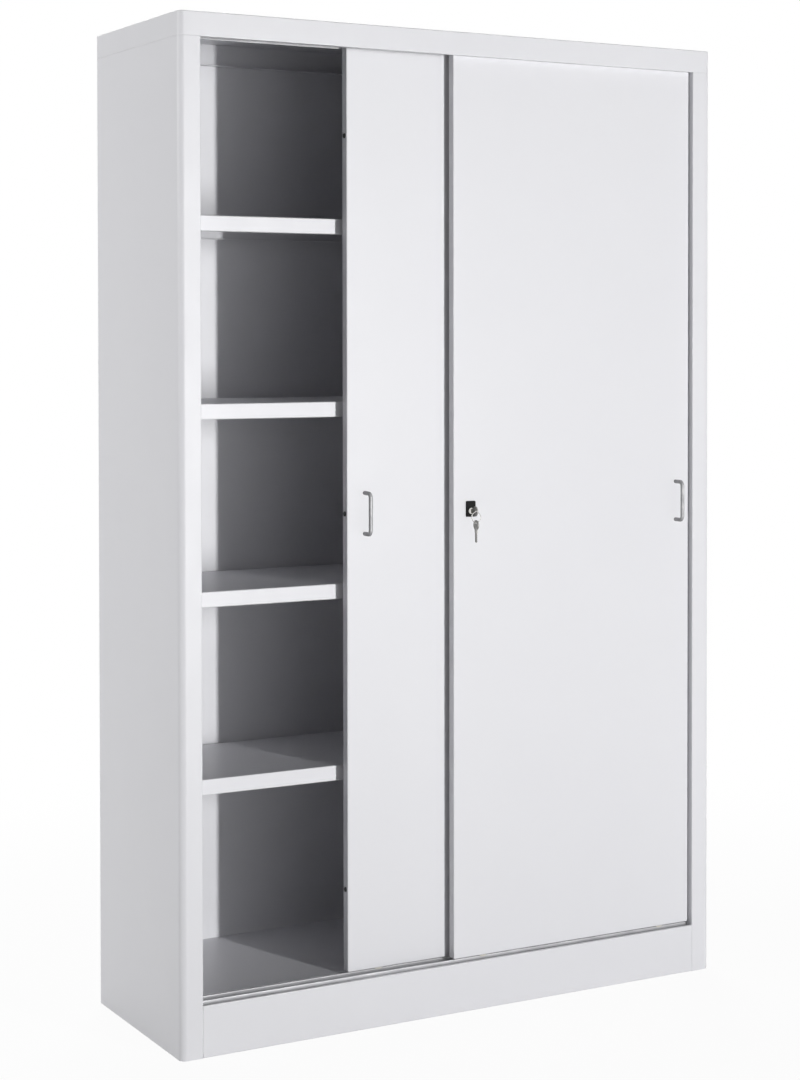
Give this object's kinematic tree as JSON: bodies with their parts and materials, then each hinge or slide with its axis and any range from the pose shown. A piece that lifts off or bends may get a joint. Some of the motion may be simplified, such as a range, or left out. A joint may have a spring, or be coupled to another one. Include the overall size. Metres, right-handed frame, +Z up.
{
  "type": "sliding-door storage cabinet",
  "caption": "Tall grey steel office cabinet with bypass sliding doors, bow handles, a cam lock with keys and adjustable shelves on slotted uprights",
  "frame": {"origin": "on the floor, under the middle of the carcass", "axes": "+X to the right seen from the front, +Y from the doors to the back, +Z up"},
  "size_m": [1.2, 0.4525, 1.95],
  "materials": {
    "grey_powder_coat": "fine satin powder coat",
    "zinc_plated_steel": "bright zinc plate",
    "track_aluminium": "extruded, satin anodised",
    "satin_nickel": "satin nickel plate",
    "lock_nickel": "polished nickel plate",
    "black_zinc_casting": "black stove enamel on a zinc die casting",
    "white_nylon": "moulded nylon",
    "black_rubber": "moulded rubber"
  },
  "bodies": {
    "carcass": {"left_side_panel": "grey_powder_coat", "right_side_panel": "grey_powder_coat", "top_cap": "grey_powder_coat", "plinth_panel": "grey_powder_coat", "bottom_panel": "grey_powder_coat", "back_panel_left": "grey_powder_coat", "back_panel_right": "grey_powder_coat", "back_rivets": "zinc_plated_steel", "bottom_track": "track_aluminium", "top_track": "track_aluminium", "front_left_upright": "grey_powder_coat", "rear_left_upright": "grey_powder_coat", "front_right_upright": "grey_powder_coat", "rear_right_upright": "grey_powder_coat", "shelf_1": "grey_powder_coat", "shelf_1_clips": "zinc_plated_steel", "shelf_2": "grey_powder_coat", "shelf_2_clips": "zinc_plated_steel", "shelf_3": "grey_powder_coat", "shelf_3_clips": "zinc_plated_steel", "shelf_4": "grey_powder_coat", "shelf_4_clips": "zinc_plated_steel"},
    "left_door": {"left_door_panel": "grey_powder_coat", "left_door_stiffener": "grey_powder_coat", "left_door_carriages": "zinc_plated_steel", "left_door_axles": "zinc_plated_steel", "left_door_guides": "white_nylon", "left_door_handle": "satin_nickel", "left_handle_screws": "zinc_plated_steel", "left_door_bumpers": "black_rubber", "lock_keeper": "zinc_plated_steel"},
    "right_door": {"right_door_panel": "grey_powder_coat", "right_door_stiffener": "grey_powder_coat", "right_door_carriages": "zinc_plated_steel", "right_door_axles": "zinc_plated_steel", "right_door_guides": "white_nylon", "right_door_handle": "satin_nickel", "right_handle_screws": "zinc_plated_steel", "right_door_bumpers": "black_rubber", "lock_housing": "black_zinc_casting", "lock_nut": "zinc_plated_steel"},
    "lock_cylinder": {"lock_plug": "lock_nickel", "lock_cam": "zinc_plated_steel", "cam_screw": "zinc_plated_steel", "key": "lock_nickel"},
    "key_ring_body": {"key_ring": "lock_nickel"},
    "spare_key_body": {"spare_key": "lock_nickel"},
    "left_door_left_wheel": {"left_door_left_wheel": "white_nylon"},
    "left_door_right_wheel": {"left_door_right_wheel": "white_nylon"},
    "right_door_left_wheel": {"right_door_left_wheel": "white_nylon"},
    "right_door_right_wheel": {"right_door_right_wheel": "white_nylon"}
  },
  "joints": [
    {"name": "left_door_slide", "type": "slide", "parent": "carcass", "child": "left_door", "axis": [1, 0, 0], "range_m": [-0.3169, 0.175]},
    {"name": "right_door_slide", "type": "slide", "parent": "carcass", "child": "right_door", "axis": [1, 0, 0], "range_m": [-0.175, 0]},
    {"name": "left_door_left_wheel_turn", "type": "hinge", "parent": "left_door", "child": "left_door_left_wheel", "pos_m": [-0.1668, -0.167, 0.1105], "axis": [0, 1, 0], "continuous": true},
    {"name": "left_door_right_wheel_turn", "type": "hinge", "parent": "left_door", "child": "left_door_right_wheel", "pos_m": [0.2617, -0.167, 0.1105], "axis": [0, 1, 0], "continuous": true},
    {"name": "right_door_left_wheel_turn", "type": "hinge", "parent": "right_door", "child": "right_door_left_wheel", "pos_m": [0.0552, -0.194, 0.1105], "axis": [0, 1, 0], "continuous": true},
    {"name": "right_door_right_wheel_turn", "type": "hinge", "parent": "right_door", "child": "right_door_right_wheel", "pos_m": [0.4837, -0.194, 0.1105], "axis": [0, 1, 0], "continuous": true},
    {"name": "lock_turn", "type": "hinge", "parent": "right_door", "child": "lock_cylinder", "pos_m": [0.0237, -0.196, 1], "axis": [0, 1, 0], "range_deg": [0, 90]},
    {"name": "key_ring_swing", "type": "hinge", "parent": "lock_cylinder", "child": "key_ring_body", "pos_m": [0.0237, -0.2265, 1], "axis": [-1, 0, 0], "range_deg": [-10, 60]},
    {"name": "spare_key_swing", "type": "hinge", "parent": "key_ring_body", "child": "spare_key_body", "pos_m": [0.0237, -0.2265, 0.9769], "axis": [-1, 0, 0], "range_deg": [-10, 45]}
  ],
  "couplings": [
    {"joint": "left_door_left_wheel_turn", "follows": "left_door_slide", "rad_per_m": 125},
    {"joint": "left_door_right_wheel_turn", "follows": "left_door_slide", "rad_per_m": 125},
    {"joint": "right_door_left_wheel_turn", "follows": "right_door_slide", "rad_per_m": 125},
    {"joint": "right_door_right_wheel_turn", "follows": "right_door_slide", "rad_per_m": 125}
  ]
}
